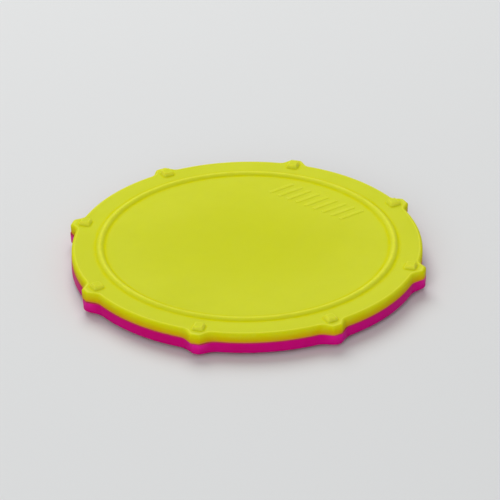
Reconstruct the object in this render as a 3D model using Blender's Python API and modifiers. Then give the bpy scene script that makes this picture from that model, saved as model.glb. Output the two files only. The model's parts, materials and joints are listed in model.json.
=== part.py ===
"""A two-sided round practice pad in the outline of a snare drum.

Two rubber mouldings lie back to back on a thin stiffener plate, the lower one a little thicker.
Each has a playing face inside a raised bead, an outer rim, moulded lugs with square bosses, and a
raised row of bars. Metres, +Z up. The origin is under the pad's centre, on the surface that the
pad stands on.
"""

import math

import bmesh
import bpy
from mathutils import Matrix, Vector

# Outline, seen from above
RIM_RADIUS = 0.0970
LUG_COUNT = 8
LUG_TIP_RADIUS = 0.1016
LUG_TIP_WIDTH = 0.0046
LUG_ROOT_WIDTH = 0.0155
LUG_TIP_CORNER = 0.0018
LUG_ROOT_FILLET = 0.0055
RIM_STEP = math.radians(6.0)
CORNER_STEPS = 3

# The mouldings, measured from the parting plane
TOP_THICKNESS = 0.0056
BOTTOM_THICKNESS = 0.0066
FACE_EDGE_ROUND = 0.0015
FACE_EDGE_STEPS = 3
SEAM_GAP = 0.0003
MATING_GAP = 0.0003

# Bead ring round the playing face
BEAD_RADIUS = 0.0813
BEAD_WIDTH = 0.0050
BEAD_HEIGHT = 0.0016
BEAD_STEPS = 72
BEAD_ARC_STEPS = 6

# Bosses, one at the root of each lug
BOSS_SIDE = 0.0054
BOSS_HEIGHT = 0.0022
BOSS_EDGE_ROUND = 0.0005
BOSS_RADIUS = 0.0935

# Raised row of slanted bars near the bead, midway between two lugs
MARK_SECTOR = 1.5
MARK_RADIUS = 0.0620
MARK_BARS = 9
MARK_PITCH = 0.0062
MARK_BAR_LENGTH = 0.0160
MARK_BAR_WIDTH = 0.0024
MARK_SLANT = math.radians(16.0)
MARK_HEIGHT = 0.0004

# Inside
CORE_RADIUS = 0.0880
CORE_THICKNESS = 0.0020
CORE_EDGE_ROUND = 0.0004
FILM_THICKNESS = 0.0004
FILM_RADIUS = 0.0874
RING_THICKNESS = 0.0004
RING_OUTER_RADIUS = 0.0938
ROUND_STEPS = 72

# How far a raised feature is sunk into the body it is joined to
EMBED = 0.0008

PARTING_Z = BOSS_HEIGHT + BOTTOM_THICKNESS
LUG_ANGLE = math.tau / LUG_COUNT

YELLOW = (0.62, 0.66, 0.03)
MAGENTA = (0.52, 0.005, 0.16)
CORE_BROWN = (0.16, 0.09, 0.05)
FILM_AMBER = (0.55, 0.42, 0.20)
ADHESIVE_ORANGE = (0.50, 0.16, 0.05)


def clear_scene():
    for item in list(bpy.data.objects):
        bpy.data.objects.remove(item, do_unlink=True)


def new_collection(name):
    collection = bpy.data.collections.new(name)
    bpy.context.scene.collection.children.link(collection)
    return collection


def make_material(name, colour, roughness):
    material = bpy.data.materials.new(name)
    material.use_nodes = True
    shader = material.node_tree.nodes["Principled BSDF"]
    shader.inputs["Base Color"].default_value = (*colour, 1.0)
    shader.inputs["Roughness"].default_value = roughness
    shader.inputs["Metallic"].default_value = 0.0
    return material


def add_object(name, mesh, collection, material=None):
    item = bpy.data.objects.new(name, mesh)
    collection.objects.link(item)
    if material:
        mesh.materials.append(material)
    return item


def make_cutter(item):
    item.hide_render = True
    item.display_type = "WIRE"


def add_boolean(item, cutter, operation):
    modifier = item.modifiers.new(operation.title(), "BOOLEAN")
    modifier.object = cutter
    modifier.operation = operation
    modifier.solver = "EXACT"
    return modifier


def bake(item):
    """Put the evaluated mesh in place of the object's modifiers."""
    graph = bpy.context.evaluated_depsgraph_get()
    mesh = bpy.data.meshes.new_from_object(item.evaluated_get(graph))
    item.modifiers.clear()
    item.data = mesh


def polar(radius, angle, offset=0.0):
    """A point at a radius on a ray, moved sideways from the ray by offset."""
    along = Vector((math.cos(angle), math.sin(angle)))
    across = Vector((-math.sin(angle), math.cos(angle)))
    return along * radius + across * offset


def round_corner(before, corner, after, radius, steps=CORNER_STEPS):
    """Points of the arc that rounds the corner between two straight legs."""
    leg_in = (before - corner).normalized()
    leg_out = (after - corner).normalized()
    half_angle = leg_in.angle(leg_out) / 2
    centre = corner + (leg_in + leg_out).normalized() * radius / math.sin(half_angle)
    start = corner + leg_in * radius / math.tan(half_angle) - centre
    end = corner + leg_out * radius / math.tan(half_angle) - centre
    sweep = start.angle_signed(end)
    points = []
    for step in range(steps + 1):
        turned = start.copy()
        turned.rotate(Matrix.Rotation(-sweep * step / steps, 2))
        points.append(centre + turned)
    return points


def lug_points(angle):
    """The outline round one lug, from its clockwise side to its other side."""
    root_along = math.sqrt(RIM_RADIUS ** 2 - (LUG_ROOT_WIDTH / 2) ** 2)
    root_reach = LUG_ROOT_FILLET * 0.6
    corners = [
        polar(RIM_RADIUS, angle - math.asin((LUG_ROOT_WIDTH / 2 + root_reach) / RIM_RADIUS)),
        polar(root_along, angle, -LUG_ROOT_WIDTH / 2),
        polar(LUG_TIP_RADIUS, angle, -LUG_TIP_WIDTH / 2),
        polar(LUG_TIP_RADIUS, angle, LUG_TIP_WIDTH / 2),
        polar(root_along, angle, LUG_ROOT_WIDTH / 2),
        polar(RIM_RADIUS, angle + math.asin((LUG_ROOT_WIDTH / 2 + root_reach) / RIM_RADIUS)),
    ]
    radii = [LUG_ROOT_FILLET, LUG_TIP_CORNER, LUG_TIP_CORNER, LUG_ROOT_FILLET]
    points = []
    for index, radius in enumerate(radii, start=1):
        points += round_corner(corners[index - 1], corners[index], corners[index + 1], radius)
    return points


def outline_points():
    """The pad's outline, counter-clockwise: rim arcs with a lug at each division."""
    lug_half_angle = math.asin((LUG_ROOT_WIDTH / 2 + LUG_ROOT_FILLET) / RIM_RADIUS)
    arc_sweep = LUG_ANGLE - 2 * lug_half_angle
    arc_steps = round(arc_sweep / RIM_STEP)
    points = []
    for lug in range(LUG_COUNT):
        angle = lug * LUG_ANGLE
        points += lug_points(angle)
        for step in range(arc_steps + 1):
            points.append(polar(RIM_RADIUS, angle + lug_half_angle + arc_sweep * step / arc_steps))
    return points


def extruded_outline(name, points, low_z, high_z, collection):
    """A closed plate with the given outline, made from a filled 2D curve."""
    curve = bpy.data.curves.new(name, "CURVE")
    curve.dimensions = "2D"
    curve.fill_mode = "BOTH"
    curve.extrude = (high_z - low_z) / 2
    spline = curve.splines.new("POLY")
    spline.points.add(len(points) - 1)
    for target, point in zip(spline.points, points):
        target.co = (point.x, point.y, 0.0, 1.0)
    spline.use_cyclic_u = True
    holder = add_object(name, curve, collection)
    holder.location.z = (low_z + high_z) / 2
    bpy.context.view_layer.update()
    graph = bpy.context.evaluated_depsgraph_get()
    mesh = bpy.data.meshes.new_from_object(holder.evaluated_get(graph))
    cleaner = bmesh.new()
    cleaner.from_mesh(mesh)
    bmesh.ops.remove_doubles(cleaner, verts=cleaner.verts, dist=1e-6)
    bmesh.ops.dissolve_limit(cleaner, angle_limit=1e-3, verts=cleaner.verts, edges=cleaner.edges)
    cleaner.transform(holder.matrix_world)
    cleaner.to_mesh(mesh)
    cleaner.free()
    bpy.data.objects.remove(holder, do_unlink=True)
    mesh.name = name
    return add_object(name, mesh, collection)


def turned(name, profile, steps, collection):
    """A solid of revolution about Z. The profile runs down the outer side, as (radius, height) pairs."""
    shape = bmesh.new()
    rim = [shape.verts.new((radius, 0.0, height)) for radius, height in profile]
    for first, second in zip(rim, rim[1:]):
        shape.edges.new((first, second))
    if profile[0][0] > 0.0:
        shape.edges.new((rim[-1], rim[0]))
    mesh = bpy.data.meshes.new(name)
    shape.to_mesh(mesh)
    shape.free()
    item = add_object(name, mesh, collection)
    screw = item.modifiers.new("Screw", "SCREW")
    screw.steps = steps
    screw.render_steps = steps
    screw.use_merge_vertices = True
    screw.merge_threshold = 1e-5
    bake(item)
    return item


def round_face_edge(item, face_z):
    """Round the outline's edge at the face, and leave the one at the parting plane sharp."""
    mesh = item.data
    weights = mesh.attributes.new("bevel_weight_edge", "FLOAT", "EDGE")
    for edge in mesh.edges:
        if all(mesh.vertices[index].co.z > face_z - 1e-5 for index in edge.vertices):
            weights.data[edge.index].value = 1.0
    bevel = item.modifiers.new("Edges", "BEVEL")
    bevel.limit_method = "WEIGHT"
    bevel.width = FACE_EDGE_ROUND
    bevel.segments = FACE_EDGE_STEPS
    bevel.use_clamp_overlap = False
    bake(item)


def bead_profile(face_z):
    """A flattened half circle standing on the face and sunk a little into it."""
    points = []
    for step in range(BEAD_ARC_STEPS + 1):
        turn = math.pi * step / BEAD_ARC_STEPS
        radius = BEAD_RADIUS - math.cos(turn) * BEAD_WIDTH / 2
        points.append((radius, face_z + math.sin(turn) * BEAD_HEIGHT))
    points.append((BEAD_RADIUS + BEAD_WIDTH / 2, face_z - EMBED))
    points.append((BEAD_RADIUS - BEAD_WIDTH / 2, face_z - EMBED))
    return points


def rounded_block(name, size, top_z, edge_round, collection):
    """A block with rounded edges whose top is at top_z; size is along, across and high."""
    bpy.ops.mesh.primitive_cube_add(size=1.0)
    item = bpy.context.active_object
    item.name = name
    for owner in list(item.users_collection):
        owner.objects.unlink(item)
    collection.objects.link(item)
    item.data.transform(Matrix.Diagonal((*size, 1.0)))
    item.data.transform(Matrix.Translation((0.0, 0.0, top_z - size[2] / 2)))
    bevel = item.modifiers.new("Edges", "BEVEL")
    bevel.width = edge_round
    bevel.segments = 2
    bake(item)
    return item


def place(item, centre, angle):
    item.data.transform(Matrix.Translation((centre.x, centre.y, 0.0)) @ Matrix.Rotation(angle, 4, "Z"))


def add_bosses(pad, face_z, cutters):
    for lug in range(LUG_COUNT):
        angle = lug * LUG_ANGLE
        size = (BOSS_SIDE, BOSS_SIDE, BOSS_HEIGHT + EMBED)
        boss = rounded_block(f"boss_{lug}", size, face_z + BOSS_HEIGHT, BOSS_EDGE_ROUND, cutters)
        place(boss, polar(BOSS_RADIUS, angle), angle)
        make_cutter(boss)
        add_boolean(pad, boss, "UNION")


def add_mark(pad, face_z, cutters):
    middle = MARK_SECTOR * LUG_ANGLE
    for bar in range(MARK_BARS):
        offset = (bar - (MARK_BARS - 1) / 2) * MARK_PITCH
        size = (MARK_BAR_LENGTH, MARK_BAR_WIDTH, MARK_HEIGHT + EMBED)
        block = rounded_block(f"bar_{bar}", size, face_z + MARK_HEIGHT, MARK_HEIGHT / 2, cutters)
        place(block, polar(MARK_RADIUS, middle, offset), middle - MARK_SLANT)
        make_cutter(block)
        add_boolean(pad, block, "UNION")


def inner_cavity(cutters):
    """The pocket for the core plate and its films, with a shallow recess round it for the ring."""
    pocket_radius = CORE_RADIUS + MATING_GAP
    pocket_depth = CORE_THICKNESS / 2 + FILM_THICKNESS + 2 * MATING_GAP
    recess_radius = RING_OUTER_RADIUS + MATING_GAP
    recess_depth = RING_THICKNESS / 2 + MATING_GAP
    profile = [
        (0.0, PARTING_Z + pocket_depth),
        (pocket_radius, PARTING_Z + pocket_depth),
        (pocket_radius, PARTING_Z + recess_depth),
        (recess_radius, PARTING_Z + recess_depth),
        (recess_radius, PARTING_Z - recess_depth),
        (pocket_radius, PARTING_Z - recess_depth),
        (pocket_radius, PARTING_Z - pocket_depth),
        (0.0, PARTING_Z - pocket_depth),
    ]
    cavity = turned("inner_cavity", profile, ROUND_STEPS, cutters)
    make_cutter(cavity)
    return cavity


def make_pad(name, thickness, material, collection, cutters, cavity):
    """A rubber moulding on the parting plane, with its playing face up."""
    face_z = PARTING_Z + thickness
    pad = extruded_outline(name, outline_points(), PARTING_Z + SEAM_GAP / 2, face_z, collection)
    round_face_edge(pad, face_z)
    bead = turned("bead", bead_profile(face_z), BEAD_STEPS, cutters)
    make_cutter(bead)
    add_boolean(pad, bead, "UNION")
    add_bosses(pad, face_z, cutters)
    add_mark(pad, face_z, cutters)
    add_boolean(pad, cavity, "DIFFERENCE")
    bake(pad)
    pad.data.materials.clear()
    pad.data.materials.append(material)
    return pad


def turn_over(item):
    """Turn a moulding over about the X axis of the parting plane."""
    to_plane = Matrix.Translation((0.0, 0.0, PARTING_Z))
    item.data.transform(to_plane @ Matrix.Rotation(math.pi, 4, "X") @ to_plane.inverted())


def disc_profile(radius, low_z, high_z, edge_round):
    return [
        (0.0, high_z),
        (radius - edge_round, high_z),
        (radius, high_z - edge_round),
        (radius, low_z + edge_round),
        (radius - edge_round, low_z),
        (0.0, low_z),
    ]


def make_core(collection, material):
    low_z = PARTING_Z - CORE_THICKNESS / 2
    profile = disc_profile(CORE_RADIUS, low_z, low_z + CORE_THICKNESS, CORE_EDGE_ROUND)
    core = turned("core_plate", profile, ROUND_STEPS, collection)
    core.data.materials.append(material)
    return core


def make_film(name, side, collection, material):
    """A film above the core plate for side 1, and below it for side -1."""
    near = CORE_THICKNESS / 2 + MATING_GAP
    heights = sorted(PARTING_Z + side * reach for reach in (near, near + FILM_THICKNESS))
    profile = [(0.0, heights[1]), (FILM_RADIUS, heights[1]), (FILM_RADIUS, heights[0]), (0.0, heights[0])]
    film = turned(name, profile, ROUND_STEPS, collection)
    film.data.materials.append(material)
    return film


def make_ring(collection, material):
    inner = CORE_RADIUS + 2 * MATING_GAP
    high_z = PARTING_Z + RING_THICKNESS / 2
    low_z = PARTING_Z - RING_THICKNESS / 2
    profile = [(inner, high_z), (RING_OUTER_RADIUS, high_z), (RING_OUTER_RADIUS, low_z), (inner, low_z)]
    ring = turned("rim_bond_ring", profile, ROUND_STEPS, collection)
    ring.data.materials.append(material)
    return ring


def finish_shading(items):
    for item in items:
        item.data.shade_smooth()
        item.data.set_sharp_from_angle(angle=math.radians(35.0))


def main():
    clear_scene()
    parts = new_collection("practice_pad")
    cutters = new_collection("practice_pad_cutters")
    cavity = inner_cavity(cutters)
    yellow = make_material("yellow_rubber", YELLOW, 0.5)
    magenta = make_material("magenta_rubber", MAGENTA, 0.5)
    top = make_pad("top_pad", TOP_THICKNESS, yellow, parts, cutters, cavity)
    bottom = make_pad("bottom_pad", BOTTOM_THICKNESS, magenta, parts, cutters, cavity)
    turn_over(bottom)
    core = make_core(parts, make_material("core_board", CORE_BROWN, 0.8))
    upper = make_film("upper_bond_film", 1, parts, make_material("upper_film", FILM_AMBER, 0.4))
    lower = make_film("lower_bond_film", -1, parts, make_material("lower_film", FILM_AMBER, 0.4))
    ring = make_ring(parts, make_material("rim_adhesive", ADHESIVE_ORANGE, 0.5))
    finish_shading([top, bottom, core, upper, lower, ring])


main()
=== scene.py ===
import json
import math

import bmesh
import bpy
from mathutils import Matrix, Vector


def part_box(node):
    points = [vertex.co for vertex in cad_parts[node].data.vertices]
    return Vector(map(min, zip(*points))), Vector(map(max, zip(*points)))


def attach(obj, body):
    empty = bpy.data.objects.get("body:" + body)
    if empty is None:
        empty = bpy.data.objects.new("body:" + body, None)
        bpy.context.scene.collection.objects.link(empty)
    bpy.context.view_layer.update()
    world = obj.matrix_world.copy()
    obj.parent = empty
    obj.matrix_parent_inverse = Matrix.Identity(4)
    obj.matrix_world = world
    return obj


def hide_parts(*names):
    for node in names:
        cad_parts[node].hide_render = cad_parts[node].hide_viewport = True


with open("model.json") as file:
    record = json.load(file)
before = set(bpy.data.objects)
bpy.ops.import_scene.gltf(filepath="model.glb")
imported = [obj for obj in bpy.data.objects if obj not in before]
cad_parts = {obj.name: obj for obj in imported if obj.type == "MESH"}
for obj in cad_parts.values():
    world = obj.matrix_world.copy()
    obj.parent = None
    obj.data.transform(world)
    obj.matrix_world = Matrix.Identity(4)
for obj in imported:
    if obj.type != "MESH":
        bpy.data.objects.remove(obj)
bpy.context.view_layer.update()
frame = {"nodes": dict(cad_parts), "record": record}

mm = 0.001
print("practice pad: frame loaded")

# Places that come from the frame
mounts = {mount["name"]: mount for mount in frame["record"]["mounts"]}
place = {
    "upperFace": mounts["upper_playing_face"]["pos_m"][2],
    "lowerFace": mounts["lower_playing_face"]["pos_m"][2],
    "bossRadius": mounts["upper_boss_rest"]["pos_m"][0],
    "bossTop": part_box("top_pad")[1].z,
    "lugTip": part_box("top_pad")[1].x,
    "parting": (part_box("top_pad")[0].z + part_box("bottom_pad")[1].z) / 2,
    "coreRadius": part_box("core_plate")[1].x,
    "filmTop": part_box("upper_bond_film")[1].z,
    "ringRadius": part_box("rim_bond_ring")[1].x,
    "ringTop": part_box("rim_bond_ring")[1].z,
}

# Camera

view = {
    "lens": 391.7,
    "distance": 3.006,
    "azimuth": 16.46,
    "elevation": 29.69,
    "roll": 0.69,
    "slideRight": 1.89 * mm,
    "slideDown": 2.88 * mm,
}


def addCamera():
    azimuth, elevation = math.radians(view["azimuth"]), math.radians(view["elevation"])
    turn = Matrix.Rotation(azimuth, 3, "Z")
    right = turn @ Vector((1, 0, 0))
    back = turn @ Vector((0, -math.cos(elevation), math.sin(elevation)))
    up = back.cross(right)
    roll = Matrix.Rotation(-math.radians(view["roll"]), 3, "Z")
    facing = Matrix((right, up, back)).transposed() @ roll
    target = Vector((0, 0, place["upperFace"]))
    target += facing.col[0] * view["slideRight"] - facing.col[1] * view["slideDown"]
    camera = bpy.data.objects.new("camera", bpy.data.cameras.new("camera"))
    camera.data.lens = view["lens"]
    camera.matrix_world = Matrix.Translation(target + back * view["distance"]) @ facing.to_4x4()
    bpy.context.scene.collection.objects.link(camera)
    bpy.context.scene.camera = camera


addCamera()
print("practice pad: camera placed")

# Floor and lights

studio = {
    "floorSize": 60.0,
    "floorColour": (0.74, 0.74, 0.73),
    "floorRough": 0.7,
    "floorShine": 0.2,
    "worldColour": (0.93, 0.96, 1.0),
    "worldStrength": 0.40,
    "seenColour": (0.283, 0.288, 0.296),
}
keyLight = {
    "azimuth": -150,
    "elevation": 50,
    "distance": 2.2,
    "size": 1.7,
    "power": 30,
}
fillLight = {
    "azimuth": 4,
    "elevation": 28,
    "distance": 2.2,
    "size": 1.6,
    "power": 17,
}


def addSoftbox(name, lamp):
    around, above = math.radians(lamp["azimuth"]), math.radians(lamp["elevation"])
    level = math.cos(above)
    away = Vector((math.sin(around) * level, -math.cos(around) * level, math.sin(above)))
    light = bpy.data.lights.new(name, "AREA")
    light.shape = "DISK"
    light.size = lamp["size"]
    light.energy = lamp["power"]
    softbox = bpy.data.objects.new(name, light)
    softbox.location = away * lamp["distance"]
    softbox.rotation_euler = away.to_track_quat("Z", "Y").to_euler()
    softbox.visible_camera = False
    bpy.context.scene.collection.objects.link(softbox)


def addWorld():
    world = bpy.data.worlds.new("studioWorld")
    world.use_nodes = True
    nodes, links = world.node_tree.nodes, world.node_tree.links
    nodes.clear()
    lit = nodes.new("ShaderNodeBackground")  # what lights the pad
    lit.inputs["Color"].default_value = (*studio["worldColour"], 1)
    lit.inputs["Strength"].default_value = studio["worldStrength"]
    seen = nodes.new("ShaderNodeBackground")  # what shows past the floor's far end
    seen.inputs["Color"].default_value = (*studio["seenColour"], 1)
    path = nodes.new("ShaderNodeLightPath")
    mix = nodes.new("ShaderNodeMixShader")
    out = nodes.new("ShaderNodeOutputWorld")
    links.new(path.outputs["Is Camera Ray"], mix.inputs["Fac"])
    links.new(lit.outputs["Background"], mix.inputs[1])
    links.new(seen.outputs["Background"], mix.inputs[2])
    links.new(mix.outputs["Shader"], out.inputs["Surface"])
    bpy.context.scene.world = world


def addFloor():
    half = studio["floorSize"] / 2
    mesh = bpy.data.meshes.new("floor")
    corners = [(-half, -half, 0), (half, -half, 0), (half, half, 0), (-half, half, 0)]
    mesh.from_pydata(corners, [], [(0, 1, 2, 3)])
    floor = bpy.data.objects.new("floor", mesh)
    bpy.context.scene.collection.objects.link(floor)
    paint = bpy.data.materials.new("floorPaint")
    paint.use_nodes = True
    shader = paint.node_tree.nodes["Principled BSDF"]
    shader.inputs["Base Color"].default_value = (*studio["floorColour"], 1)
    shader.inputs["Roughness"].default_value = studio["floorRough"]
    shader.inputs["Specular IOR Level"].default_value = studio["floorShine"]
    mesh.materials.append(paint)


addFloor()
addWorld()
addSoftbox("keyLight", keyLight)
addSoftbox("fillLight", fillLight)
bpy.context.scene.view_settings.view_transform = "Standard"
print("practice pad: floor and lights ready")

# Node groups that the materials share


def newGroup(name, inputs, outputs):
    group = bpy.data.node_groups.new(name, "ShaderNodeTree")
    for label, value in inputs:
        socket = group.interface.new_socket(label, in_out="INPUT", socket_type="NodeSocketFloat")
        socket.default_value = value
    for label in outputs:
        group.interface.new_socket(label, in_out="OUTPUT", socket_type="NodeSocketFloat")
    nodes = group.nodes
    return group, nodes.new("NodeGroupInput"), nodes.new("NodeGroupOutput")


def feed(tree, value, socket):  # a socket takes another socket's output, or a plain number
    if isinstance(value, bpy.types.NodeSocket):
        tree.links.new(value, socket)
    else:
        socket.default_value = value


def noise(tree, where, scale, detail=2.0, rough=0.5):
    node = tree.nodes.new("ShaderNodeTexNoise")
    tree.links.new(where, node.inputs["Vector"])
    feed(tree, scale, node.inputs["Scale"])
    node.inputs["Detail"].default_value = detail
    node.inputs["Roughness"].default_value = rough
    return node.outputs["Fac"]


def calculate(tree, operation, first, second=0.0):
    node = tree.nodes.new("ShaderNodeMath")
    node.operation = operation
    feed(tree, first, node.inputs[0])
    feed(tree, second, node.inputs[1])
    return node.outputs["Value"]


def spread(tree, value, low, high, toLow=0.0, toHigh=1.0):
    node = tree.nodes.new("ShaderNodeMapRange")
    node.interpolation_type = "SMOOTHSTEP"
    tree.links.new(value, node.inputs["Value"])
    for label, number in (("From Min", low), ("From Max", high), ("To Min", toLow), ("To Max", toHigh)):
        node.inputs[label].default_value = number
    return node.outputs["Result"]


def mixColour(tree, share, first, second):
    node = tree.nodes.new("ShaderNodeMix")
    node.data_type = "RGBA"
    tree.links.new(share, node.inputs[0])
    for socket, value in zip((node.inputs[6], node.inputs[7]), (first, second)):  # the colour sockets
        feed(tree, (*value, 1) if isinstance(value, tuple) else value, socket)
    return node.outputs[2]


def stretched(tree, where, scale):  # places multiplied by a scale for each axis
    node = tree.nodes.new("ShaderNodeVectorMath")
    node.operation = "MULTIPLY"
    node.inputs[1].default_value = scale
    tree.links.new(where, node.inputs[0])
    return node.outputs["Vector"]


def useGroup(tree, group, **values):
    node = tree.nodes.new("ShaderNodeGroup")
    node.node_tree = group
    for label, value in values.items():
        node.inputs[label].default_value = value
    return node


mouldSkin = {
    "grainHeight": 0.45,
    "pitHeight": 0.15,
    "waveHeight": 1.1,
    "tintScale": 16.0,
    "glossScale": 42.0,
}


def buildGrainGroup():  # the skin that a mould leaves: fine grain, tiny pits, and slow unevenness
    group, start, end = newGroup("mouldedGrain", [("Grain", 2200.0), ("Pits", 900.0), ("Waves", 60.0)],
                                 ["Height", "Tint", "Gloss"])
    where = group.nodes.new("ShaderNodeTexCoord").outputs["Object"]
    grain = noise(group, where, start.outputs["Grain"], 3.0, 0.55)
    cells = group.nodes.new("ShaderNodeTexVoronoi")
    group.links.new(where, cells.inputs["Vector"])
    group.links.new(start.outputs["Pits"], cells.inputs["Scale"])
    pits = spread(group, cells.outputs["Distance"], 0.05, 0.35)
    waves = noise(group, where, start.outputs["Waves"], 2.0, 0.4)
    grainHeight = calculate(group, "MULTIPLY", grain, mouldSkin["grainHeight"])
    pitHeight = calculate(group, "MULTIPLY", pits, mouldSkin["pitHeight"])
    waveHeight = calculate(group, "MULTIPLY", waves, mouldSkin["waveHeight"])
    height = calculate(group, "ADD", calculate(group, "ADD", grainHeight, pitHeight), waveHeight)
    group.links.new(height, end.inputs["Height"])
    tint = noise(group, where, mouldSkin["tintScale"], 5.0, 0.6)
    group.links.new(spread(group, tint, 0.3, 0.7), end.inputs["Tint"])
    gloss = noise(group, where, mouldSkin["glossScale"], 6.0, 0.65)
    group.links.new(spread(group, gloss, 0.35, 0.7), end.inputs["Gloss"])
    return group


def buildPaintedLightGroup():  # painted highlight on edges and painted shade in hollows and on walls, broken up
    group, start, end = newGroup("handledEdges", [("Breakup", 220.0)], ["Rubbed", "Dusty"])
    where = group.nodes.new("ShaderNodeTexCoord").outputs["Object"]
    patches = noise(group, where, start.outputs["Breakup"], 4.0, 0.6)
    broken = spread(group, patches, 0.3, 0.65, 0.55, 1.0)
    for label, layer in (("Rubbed", "edgeWear"), ("Dusty", "cornerDust")):
        drawn = group.nodes.new("ShaderNodeAttribute")
        drawn.attribute_name = layer
        group.links.new(calculate(group, "MULTIPLY", drawn.outputs["Fac"], broken), end.inputs[label])
    return group


def buildFibreGroup():  # pressed fibres lying every way in a board
    group, start, end = newGroup("pressedFibres", [("Fibres", 900.0)], ["Fibre", "Fleck"])
    where = group.nodes.new("ShaderNodeTexCoord").outputs["Object"]
    stretch, fleckScale = 0.18, 600.0
    along = noise(group, stretched(group, where, (1.0, stretch, 1.0)), start.outputs["Fibres"], 5.0, 0.65)
    across = noise(group, stretched(group, where, (stretch, 1.0, 1.0)), start.outputs["Fibres"], 5.0, 0.65)
    group.links.new(calculate(group, "MAXIMUM", along, across), end.inputs["Fibre"])
    group.links.new(spread(group, noise(group, where, fleckScale), 0.6, 0.72), end.inputs["Fleck"])
    return group


grainGroup = buildGrainGroup()
paintedLightGroup = buildPaintedLightGroup()
fibreGroup = buildFibreGroup()


def startMaterial(name):
    material = bpy.data.materials.new(name)
    material.use_nodes = True
    tree = material.node_tree
    return material, tree, tree.nodes["Principled BSDF"]


def addBump(tree, shader, height, depth):
    bump = tree.nodes.new("ShaderNodeBump")
    bump.inputs["Distance"].default_value = depth
    bump.inputs["Strength"].default_value = 1.0
    tree.links.new(height, bump.inputs["Height"])
    tree.links.new(bump.outputs["Normal"], shader.inputs["Normal"])


# Rubber of the two mouldings

middleShadeZone = {"full": 15 * mm, "end": 78 * mm}  # painted shade: the face's middle is painted a little deeper in colour
bothRubbers = {
    "refraction": 1.43,
    "lineShare": 0.9,  # how strong the thin painted line at the seam is
    "dustRough": 0.15,
}
yellowRubber = {
    "deep": (0.612, 0.645, 0.022),
    "light": (0.648, 0.680, 0.029),
    # painted highlight colour, for edges, crests, boss tops and lug faces
    "rubbed": (0.88, 0.87, 0.08),
    # painted shade colour, for the feet of the bead and bosses and for the wall
    "dust": (0.66, 0.65, 0.0),
    # painted bounce light from the magenta half on the wall
    "seam": (0.62, 0.345, 0.0),
    "seamReach": 5.2 * mm,
    "seamShare": 0.85,
    "seamLine": (0.72, 0.22, 0.06),
    "lineReach": 1.3 * mm,
    "rubbedShare": 0.80,
    "dustShare": 1.0,
    # painted shade colour towards the face's middle
    "struck": (0.588, 0.620, 0.010),
    "struckShare": 0.6,
    "roughLow": 0.40,
    "roughHigh": 0.50,
    "grainDepth": 0.02 * mm,
    "shine": 0.02,
    "glow": 0.6,
    "glowColour": (1.0, 0.85, 0.08),
    "glowReach": 2.2 * mm,
}
magentaRubber = {
    "deep": (0.570, 0.002, 0.165),
    "light": (0.625, 0.003, 0.220),
    # painted highlight colour, for edges, crests, boss tops and lug faces
    "rubbed": (0.80, 0.02, 0.38),
    # painted shade colour, for the feet of the bead and bosses
    "dust": (0.50, 0.002, 0.14),
    # painted shade under the seam, with the yellow half's bounce light
    "seam": (0.52, 0.006, 0.07),
    "seamReach": 0.9 * mm,
    "seamShare": 0.7,
    "seamLine": (0.52, 0.045, 0.08),
    "lineReach": 0.9 * mm,
    "rubbedShare": 0.75,
    "dustShare": 0.25,
    "struck": (0.55, 0.001, 0.155),
    "struckShare": 0.6,
    "roughLow": 0.36,
    "roughHigh": 0.47,
    "grainDepth": 0.02 * mm,
    "shine": 0.04,
    "glow": 0.4,
    "glowColour": (1.0, 0.05, 0.35),
    "glowReach": 1.5 * mm,
}


def makeRubber(name, look):
    material, tree, shader = startMaterial(name)
    grain = useGroup(tree, grainGroup)
    wear = useGroup(tree, paintedLightGroup)
    where = tree.nodes.new("ShaderNodeTexCoord").outputs["Object"]
    spot = tree.nodes.new("ShaderNodeSeparateXYZ")
    tree.links.new(where, spot.inputs["Vector"])
    fromAxis = tree.nodes.new("ShaderNodeVectorMath")
    fromAxis.operation = "LENGTH"
    tree.links.new(stretched(tree, where, (1.0, 1.0, 0.0)), fromAxis.inputs[0])
    fromSeam = calculate(tree, "ABSOLUTE", calculate(tree, "SUBTRACT", spot.outputs["Z"], place["parting"]))

    # painted shade towards the face's middle
    struck = spread(tree, fromAxis.outputs["Value"], middleShadeZone["full"], middleShadeZone["end"],
                    look["struckShare"], 0.0)
    # painted highlight and painted shade, from the marks on the mesh
    rubbed = calculate(tree, "MULTIPLY", wear.outputs["Rubbed"], look["rubbedShare"])
    paintedShade = calculate(tree, "MULTIPLY", wear.outputs["Dusty"], look["dustShare"])
    seam = spread(tree, fromSeam, 0.0, look["seamReach"], look["seamShare"], 0.0)
    line = spread(tree, fromSeam, 0.0, look["lineReach"], bothRubbers["lineShare"], 0.0)
    colour = mixColour(tree, grain.outputs["Tint"], look["deep"], look["light"])
    colour = mixColour(tree, struck, colour, look["struck"])
    colour = mixColour(tree, rubbed, colour, look["rubbed"])
    colour = mixColour(tree, paintedShade, colour, look["dust"])
    colour = mixColour(tree, seam, colour, look["seam"])  # painted bounce light in the other half's colour, and on the lower half painted shade under the seam
    # a thin painted line at the seam: painted bounce light on the upper half, painted shade on the lower
    colour = mixColour(tree, line, colour, look["seamLine"])
    tree.links.new(colour, shader.inputs["Base Color"])

    rough = spread(tree, grain.outputs["Gloss"], 0.0, 1.0, look["roughLow"], look["roughHigh"])
    # roughness a little higher where painted shade is
    dustRough = calculate(tree, "MULTIPLY", wear.outputs["Dusty"], bothRubbers["dustRough"])
    rough = calculate(tree, "ADD", rough, dustRough)
    tree.links.new(rough, shader.inputs["Roughness"])
    shader.inputs["IOR"].default_value = bothRubbers["refraction"]
    shader.inputs["Specular IOR Level"].default_value = look["shine"]
    shader.inputs["Subsurface Weight"].default_value = look["glow"]
    shader.inputs["Subsurface Radius"].default_value = look["glowColour"]
    shader.inputs["Subsurface Scale"].default_value = look["glowReach"]
    addBump(tree, shader, grain.outputs["Height"], look["grainDepth"])
    return material


# Shape of the two mouldings

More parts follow.
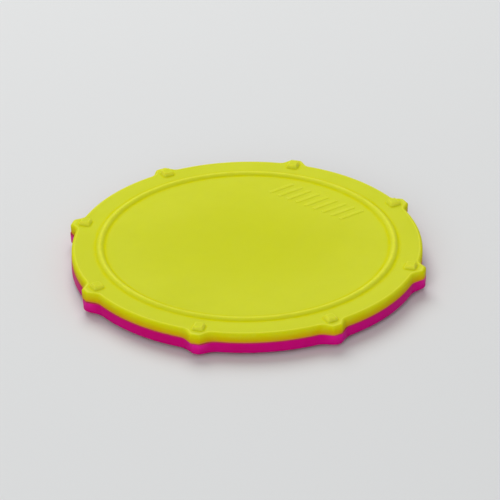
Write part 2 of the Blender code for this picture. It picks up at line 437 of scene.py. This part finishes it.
outline = {
    "rimRadius": 97.0 * mm,
    "lugs": 8,
    "seamRound": 0.14 * mm,
    "seamWear": 0.3,
    "wallSteps": 5,
    "roundSteps": 8,
    "seamSteps": 3,
    "lugSpan": 12.0 * mm,  # how far the closer points reach to each side of a lug
    "seamLug": {"tip": 4.6 * mm, "root": 15.5 * mm, "tipSoft": 0.65 * mm, "rootSoft": 1.9 * mm},
    "wearRate": 2.0,  # how soon round the edge the painted highlight ends
    "depthRate": 1.6,  # and how soon the painted shade is full
}
spacing = {  # how far apart the points stand
    "fine": 0.12 * mm,
    "bead": 0.25 * mm,
    "lug": 0.4 * mm,
    "near": 0.5 * mm,
    "flat": 0.6 * mm,
    "rim": 1.3 * mm,
}
lugAngle = math.tau / outline["lugs"]
bead = {
    "radius": 81.3 * mm,
    "halfWidth": 2.9 * mm,
    "height": 1.5 * mm,
    "footReach": 1.6 * mm,  # how far the painted shade at its foot reaches out onto the flat
    # painted highlight on the crest
    "crestWear": 0.5,
    "dustFull": 1.4,  # the painted shade is full at the foot and gone on the crest
    "dustFade": 1.6,
}
boss = {
    "half": 2.85 * mm,
    "corner": 0.8 * mm,
    "wall": 1.5 * mm,  # how far the soft side reaches across, seen from above
    "fineFrom": 2.2 * mm,  # where round the pad the closest points start and end, from a lug's middle
    "fineTo": 3.5 * mm,
    "wearAt": -0.15,  # where the painted highlight is centred, in widths of the soft side, out from the boss's side
    "wearReach": 0.38,
    "wear": 0.9,
    # painted shade at the boss's foot
    "dustAt": 0.6,
    "dustReach": 0.3,
}
mark = {
    "sector": 1.5,  # midway between two lugs, counted from the one on +X
    "radius": 62.0 * mm,
    "bars": 9,
    "pitch": 6.2 * mm,
    "length": 16.0 * mm,
    "width": 2.4 * mm,
    "slant": math.radians(16),
    "height": 0.4 * mm,
    "corner": 0.8 * mm,
    "wall": 0.7 * mm,  # how far a bar's soft side reaches across
    "wallSteps": 8,
    "cornerSteps": 6,
    # painted highlight on the bars' edges and tops
    "edgeWear": 0.5,
    "topWear": 0.15,
}
topShape = {
    "name": "topMoulding",
    "thickness": place["upperFace"] - place["parting"],
    "edgeRound": 1.9 * mm,
    "lugEdgeRound": 1.5 * mm,
    "faceLug": {"tip": 5.6 * mm, "root": 14.0 * mm, "tipSoft": 0.65 * mm, "rootSoft": 1.9 * mm},
    "edgeWear": 0.55,  # how strong the painted highlight on the rim's edge is
    "lugWear": 0.0,  # the same for the lugs' outer faces
    "wallDepth": 0.9,  # how much painted shade the wall has
    "twist": 0.0,
    "aside": 0.25 * mm,
}
bottomShape = {
    "name": "bottomMoulding",
    "thickness": place["parting"] - place["lowerFace"],
    "edgeRound": 1.0 * mm,
    "lugEdgeRound": 1.0 * mm,
    "faceLug": {"tip": 3.0 * mm, "root": 16.5 * mm, "tipSoft": 0.7 * mm, "rootSoft": 2.0 * mm},
    "edgeWear": 1.0,
    "lugWear": 0.9,
    "wallDepth": 0.0,
    "twist": math.radians(-0.5),  # the halves weren't bonded quite in line
    "aside": 0.1 * mm,
}
insideClearance = 0.3 * mm  # between a moulding's hollow and the pieces in it
rimHighlight = 1.6 * mm  # how far the painted highlight band reaches in from the rim's rounded edge
flatMargin = 0.15 * mm  # a level ring round each raised feature keeps its shading off the flat face
sharpFrom = math.radians(50)


def softMax(first, second, reach):  # the larger value, with a rounded change from one to the other
    share = min(max(0.5 + 0.5 * (first - second) / reach, 0.0), 1.0)
    return second + (first - second) * share + reach * share * (1 - share)


def smoothStep(value):
    share = min(max(value, 0.0), 1.0)
    return share * share * (3 - 2 * share)


def graded(stops):  # distances from the first stop to the last; each stop gives the spacing after it
    distances = []
    for (start, gap), (end, _) in zip(stops, stops[1:]):
        count = max(1, round((end - start) / gap))
        distances += [start + (end - start) * step / count for step in range(count)]
    return distances + [stops[-1][0]]


def lugOffset(angle):  # the angle from the nearest lug's middle
    return (angle + lugAngle / 2) % lugAngle - lugAngle / 2


def outlineRadius(angle, faceLug, share):  # share goes from 0 at the face to 1 at the seam
    lug = {key: faceLug[key] + (outline["seamLug"][key] - faceLug[key]) * share for key in faceLug}
    aside = abs(lugOffset(angle)) * outline["rimRadius"]
    full = place["lugTip"] - outline["rimRadius"]
    rise = full * (lug["root"] / 2 - aside) / (lug["root"] / 2 - lug["tip"] / 2)
    rise = softMax(rise, 0.0, lug["rootSoft"])
    rise = -softMax(-rise, -full, lug["tipSoft"])
    return outline["rimRadius"] + rise


def onLug(point):  # 0 on the rim, 1 at a lug's tip
    return smoothStep((point.length - outline["rimRadius"]) / (place["lugTip"] - outline["rimRadius"]))


def localRound(shape, point):  # the edge's rounding, which is smaller on a lug
    return shape["edgeRound"] + (shape["lugEdgeRound"] - shape["edgeRound"]) * onLug(point)


def outlineRing(angles, shape, share):  # points and outward directions round the outline at one level
    points = []
    for angle in angles:
        radius = outlineRadius(angle, shape["faceLug"], share)
        points.append(Vector((math.cos(angle) * radius, math.sin(angle) * radius)))
    count = len(points)
    outward = []
    for index in range(count):
        along = points[(index + 1) % count] - points[index - 1]
        outward.append(Vector((along.y, -along.x)).normalized())
    return points, outward


def bossDistance(x, y):  # how far a point is outside the nearest boss's side, less than zero inside it
    angle = lugOffset(math.atan2(y, x))
    radius = math.hypot(x, y)
    along = abs(radius * math.cos(angle) - place["bossRadius"]) - (boss["half"] - boss["corner"])
    across = abs(radius * math.sin(angle)) - (boss["half"] - boss["corner"])
    outside = math.hypot(max(along, 0.0), max(across, 0.0))
    return outside + min(max(along, across), 0.0) - boss["corner"]


def faceRise(x, y, bossHeight):  # height above the flat face, and how much painted highlight and painted shade the spot has
    fromBead = abs(math.hypot(x, y) - bead["radius"])
    pastFoot = (fromBead - bead["halfWidth"]) / bead["footReach"]
    if pastFoot < 1.0:
        # painted highlight on the bead's crest and painted shade at its foot
        share = 1 - min(fromBead / bead["halfWidth"], 1.0) ** 2
        paintedShade = smoothStep(bead["dustFull"] - bead["dustFade"] * share) * smoothStep(1 - pastFoot)
        return bead["height"] * share ** 2, bead["crestWear"] * share ** 4, paintedShade
    fromBoss = bossDistance(x, y) / boss["wall"]
    rise = bossHeight * smoothStep(0.5 - fromBoss)
    # painted highlight at the boss's top edge and sides, painted shade at its foot
    rubbed = boss["wear"] * math.exp(-((fromBoss - boss["wearAt"]) / boss["wearReach"]) ** 2)
    paintedShade = math.exp(-((fromBoss - boss["dustAt"]) / boss["dustReach"]) ** 2)
    return rise, rubbed, paintedShade


def turnAngles():  # the directions of the points round a ring, closest at the bosses' sides
    rim = outline["rimRadius"]
    asides = graded([(0.0, spacing["near"]), (boss["fineFrom"], spacing["fine"]),
                     (boss["fineTo"], spacing["lug"]), (outline["lugSpan"], spacing["rim"]),
                     (lugAngle / 2 * rim, None)])
    offsets = [-aside for aside in reversed(asides[1:-1])] + asides
    return [lug * lugAngle + offset / rim for lug in range(outline["lugs"]) for offset in offsets]


class Loft:  # rings of points, each joined to the one before
    def __init__(self, name):
        self.mesh = bpy.data.meshes.new(name)
        self.shape = bmesh.new()
        # marks for painted highlight and painted shade, read by the rubber's shader
        self.rubbed = self.shape.verts.layers.float.new("edgeWear")
        self.paintedShade = self.shape.verts.layers.float.new("cornerDust")
        self.last = None

    def point(self, spot, rubbed=0.0, paintedShade=0.0):
        vert = self.shape.verts.new(spot)
        vert[self.rubbed] = rubbed
        vert[self.paintedShade] = paintedShade
        return vert

    def join(self, ring):
        if self.last:
            for index in range(len(ring)):
                following = (index + 1) % len(ring)
                self.shape.faces.new((self.last[index], self.last[following], ring[following], ring[index]))
        self.last = ring
        return ring

    def ringEdges(self, ring):
        return [self.shape.edges.get((ring[index - 1], ring[index])) for index in range(len(ring))]


def circleRing(loft, angles, radius, z):
    spots = [(math.cos(angle) * radius, math.sin(angle) * radius, z) for angle in angles]
    return loft.join([loft.point(spot) for spot in spots])


def addFace(loft, angles, shape, faceZ, bossHeight):  # from the flat centre over the bead to the rim's edge
    beadStart = bead["radius"] - bead["halfWidth"]
    beadEnd = bead["radius"] + bead["halfWidth"]
    footReach = bead["footReach"]
    bossInner = place["bossRadius"] - boss["half"] - boss["wall"] / 2
    bossOuter = place["bossRadius"] + boss["half"] - boss["wall"]
    first = circleRing(loft, angles, beadStart - footReach - 2 * flatMargin, faceZ)
    stops = [(beadStart - footReach - flatMargin, spacing["near"]),
             (beadStart - flatMargin, spacing["bead"]),
             (beadEnd + flatMargin, spacing["flat"]),
             (bossInner - flatMargin, spacing["fine"]),
             (bossInner + boss["wall"] + flatMargin, spacing["flat"]),
             (bossOuter, None)]
    for radius in graded(stops):
        ring = []
        for angle in angles:
            x, y = math.cos(angle) * radius, math.sin(angle) * radius
            rise, rubbed, paintedShade = faceRise(x, y, bossHeight)
            ring.append(loft.point((x, y, faceZ + rise), rubbed, paintedShade))
        loft.join(ring)
    points, outward = outlineRing(angles, shape, 0.0)
    reach = place["lugTip"] - shape["lugEdgeRound"] - bossOuter
    wallEnd = place["bossRadius"] + boss["half"] + boss["wall"] / 2 + 3 * flatMargin - bossOuter
    for step in graded([(0.0, spacing["fine"]), (wallEnd, spacing["near"]), (reach, None)])[1:]:
        ring = []
        for angle, point, out in zip(angles, points, outward):
            inner = Vector((math.cos(angle), math.sin(angle))) * bossOuter
            spot = inner.lerp(point - out * localRound(shape, point), step / reach)
            rise, rubbed, paintedShade = faceRise(spot.x, spot.y, bossHeight)
            # a painted highlight band on the flat just inside the rim's edge
            rubbed = max(rubbed, shape["edgeWear"] * smoothStep(1 - (reach - step) / rimHighlight))
            ring.append(loft.point((spot.x, spot.y, faceZ + rise), rubbed, paintedShade))
        loft.join(ring)
    return first


def addWall(loft, angles, shape, faceZ, partingZ):  # round the rim's edge and down to the parting plane
    seamRound = outline["seamRound"]
    wallEnd = partingZ + seamRound
    levels = []  # shares of the rounding in and down, share of the wall below it, painted highlight, painted shade as depth of colour
    for step in range(1, outline["roundSteps"] + 1):
        share = step / outline["roundSteps"]
        turn = math.pi / 2 * share
        # painted highlight near the top of the edge's rounding, painted shade further round
        wear = shape["edgeWear"] * smoothStep(1 - share * outline["wearRate"])
        depth = smoothStep(share * outline["depthRate"])
        levels.append((1 - math.sin(turn), 1 - math.cos(turn), 0.0, wear, depth))
    for step in range(1, outline["wallSteps"] + 1):
        levels.append((0.0, 1.0, step / outline["wallSteps"], 0.0, 1.0))
    for inward, down, along, rubbed, depth in levels:
        drop = shape["edgeRound"] * down
        drop += (faceZ - shape["edgeRound"] - wallEnd) * along
        share = smoothStep(drop / (faceZ - partingZ))  # from the face's outline to the seam's
        ring = []
        for point, out in zip(*outlineRing(angles, shape, share)):
            edge = localRound(shape, point)
            z = faceZ - edge * down - (faceZ - edge - wallEnd) * along
            # painted highlight on the lugs' outer faces
            wear = max(rubbed, shape["lugWear"] * onLug(point) * share)
            ring.append(loft.point((*(point - out * edge * inward), z), wear, shape["wallDepth"] * depth))
        loft.join(ring)
    points, outward = outlineRing(angles, shape, 1.0)
    for step in range(1, outline["seamSteps"] + 1):
        turn = math.pi / 2 * step / outline["seamSteps"]
        inset, z = seamRound * (1 - math.cos(turn)), wallEnd - seamRound * math.sin(turn)
        # a little painted highlight on the seam's rounding
        loft.join([loft.point((*(point - out * inset), z), outline["seamWear"])
                   for point, out in zip(points, outward)])


def addInside(loft, angles, partingZ):  # the recess for the adhesive ring and the pocket for the core plate
    clear = insideClearance
    recess, pocket = place["ringRadius"] + clear, place["coreRadius"] + clear
    recessZ = partingZ + place["ringTop"] - place["parting"] + clear
    pocketZ = partingZ + place["filmTop"] - place["parting"] + clear
    for radius, z in ((recess, partingZ), (recess, recessZ), (pocket, recessZ), (pocket, pocketZ)):
        ring = circleRing(loft, angles, radius, z)
    loft.shape.faces.new(reversed(ring))


def barOutline(centre, turn, grow):  # a bar's outline with round corners, made larger by grow
    corner = mark["corner"] + grow
    halfLength = mark["length"] / 2 + grow - corner
    halfWidth = mark["width"] / 2 + grow - corner
    points = []
    for quarter, (signX, signY) in enumerate(((1, 1), (-1, 1), (-1, -1), (1, -1))):
        for step in range(mark["cornerSteps"] + 1):
            angle = math.pi / 2 * (quarter + step / mark["cornerSteps"])
            spot = Vector((signX * halfLength + math.cos(angle) * corner,
                           signY * halfWidth + math.sin(angle) * corner))
            spot.rotate(Matrix.Rotation(turn, 2))
            points.append(centre + spot)
    return points


def addBars(loft, faceZ):  # the raised row of slanted bars; returns the rings that they stand in
    height, middle = mark["height"], mark["sector"] * lugAngle
    along = Vector((math.cos(middle), math.sin(middle)))
    across = Vector((-along.y, along.x))
    foot = mark["wall"] / 2
    levels = [(foot + 2 * flatMargin, 0.0, 0.0), (foot + flatMargin, 0.0, 0.0)]  # level rings, then the side
    for step in range(mark["wallSteps"] + 1):
        share = step / mark["wallSteps"]
        # painted highlight, strongest on the bars' upper edges
        rubbed = mark["edgeWear"] * share ** 2
        levels.append((foot - share * mark["wall"], height * smoothStep(share), rubbed))
    levels.append((-foot - flatMargin, height, mark["topWear"]))
    feet = []
    for bar in range(mark["bars"]):
        centre = along * mark["radius"] + across * ((bar - (mark["bars"] - 1) / 2) * mark["pitch"])
        loft.last = None
        for grow, rise, rubbed in levels:
            points = barOutline(centre, middle - mark["slant"], grow)
            ring = loft.join([loft.point((*point, faceZ + rise), rubbed) for point in points])
            if grow == levels[0][0]:
                feet.append(ring)
        loft.shape.faces.new(ring)
    return feet


def buildMoulding(shape, material):
    partingZ = place["parting"]
    faceZ = partingZ + shape["thickness"]
    bossHeight = place["bossTop"] - place["upperFace"]
    angles = turnAngles()
    loft = Loft(shape["name"])
    inner = addFace(loft, angles, shape, faceZ, bossHeight)
    addWall(loft, angles, shape, faceZ, partingZ)
    addInside(loft, angles, partingZ)
    feet = addBars(loft, faceZ)
    edges = [edge for ring in [inner] + feet for edge in loft.ringEdges(ring)]
    bmesh.ops.triangle_fill(loft.shape, use_beauty=True, use_dissolve=False, edges=edges, normal=(0, 0, 1))
    bmesh.ops.recalc_face_normals(loft.shape, faces=loft.shape.faces)
    loft.shape.transform(Matrix.Rotation(shape["twist"], 4, "Z"))
    loft.shape.transform(Matrix.Translation((shape["aside"], 0, 0)))
    loft.shape.to_mesh(loft.mesh)
    loft.shape.free()
    loft.mesh.materials.append(material)
    loft.mesh.shade_smooth()
    loft.mesh.set_sharp_from_angle(angle=sharpFrom)
    moulding = bpy.data.objects.new(shape["name"], loft.mesh)
    bpy.context.scene.collection.objects.link(moulding)
    return moulding


def turnOver(moulding):  # about the X axis of the parting plane
    toPlane = Matrix.Translation((0, 0, place["parting"]))
    moulding.data.transform(toPlane @ Matrix.Rotation(math.pi, 4, "X") @ toPlane.inverted())


topMoulding = buildMoulding(topShape, makeRubber("yellowRubber", yellowRubber))
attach(topMoulding, "root")
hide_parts("top_pad")
print("practice pad: top moulding built,", len(topMoulding.data.vertices), "points")

bottomMoulding = buildMoulding(bottomShape, makeRubber("magentaRubber", magentaRubber))
turnOver(bottomMoulding)
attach(bottomMoulding, "root")
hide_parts("bottom_pad")
print("practice pad: bottom moulding built,", len(bottomMoulding.data.vertices), "points")

# Pieces inside, which keep their CAD meshes

coreBoard = {
    "dark": (0.10, 0.052, 0.026),
    "light": (0.24, 0.145, 0.08),
    "roughLow": 0.65,
    "roughHigh": 0.85,
    "depth": 0.08 * mm,
}
bondFilm = {
    "dark": (0.56, 0.42, 0.18),
    "light": (0.66, 0.58, 0.36),
    "roughLow": 0.25,
    "roughHigh": 0.4,
    "depth": 0.05 * mm,
    "waves": 180.0,
}
rimAdhesive = {
    "dark": (0.34, 0.09, 0.03),
    "light": (0.52, 0.17, 0.05),
    "roughLow": 0.3,
    "roughHigh": 0.5,
    "depth": 0.1 * mm,
    "waves": 180.0,
}


def makeBoard(name, look):
    material, tree, shader = startMaterial(name)
    fibres = useGroup(tree, fibreGroup)
    colour = mixColour(tree, spread(tree, fibres.outputs["Fibre"], 0.45, 0.75), look["dark"], look["light"])
    colour = mixColour(tree, fibres.outputs["Fleck"], colour, look["dark"])
    tree.links.new(colour, shader.inputs["Base Color"])
    rough = spread(tree, fibres.outputs["Fibre"], 0.4, 0.8, look["roughHigh"], look["roughLow"])
    tree.links.new(rough, shader.inputs["Roughness"])
    addBump(tree, shader, fibres.outputs["Fibre"], look["depth"])
    return material


def makeAdhesive(name, look):
    material, tree, shader = startMaterial(name)
    grain = useGroup(tree, grainGroup, Waves=look["waves"])
    colour = mixColour(tree, grain.outputs["Tint"], look["dark"], look["light"])
    tree.links.new(colour, shader.inputs["Base Color"])
    rough = spread(tree, grain.outputs["Gloss"], 0.0, 1.0, look["roughLow"], look["roughHigh"])
    tree.links.new(rough, shader.inputs["Roughness"])
    addBump(tree, shader, grain.outputs["Height"], look["depth"])
    return material


def dress(node, material):
    piece = frame["nodes"][node]
    piece.data.materials.clear()
    piece.data.materials.append(material)


filmMaterial = makeAdhesive("bondFilm", bondFilm)
dress("core_plate", makeBoard("coreBoard", coreBoard))
dress("upper_bond_film", filmMaterial)
dress("lower_bond_film", filmMaterial)
dress("rim_bond_ring", makeAdhesive("rimAdhesive", rimAdhesive))
print("practice pad: inside pieces dressed")
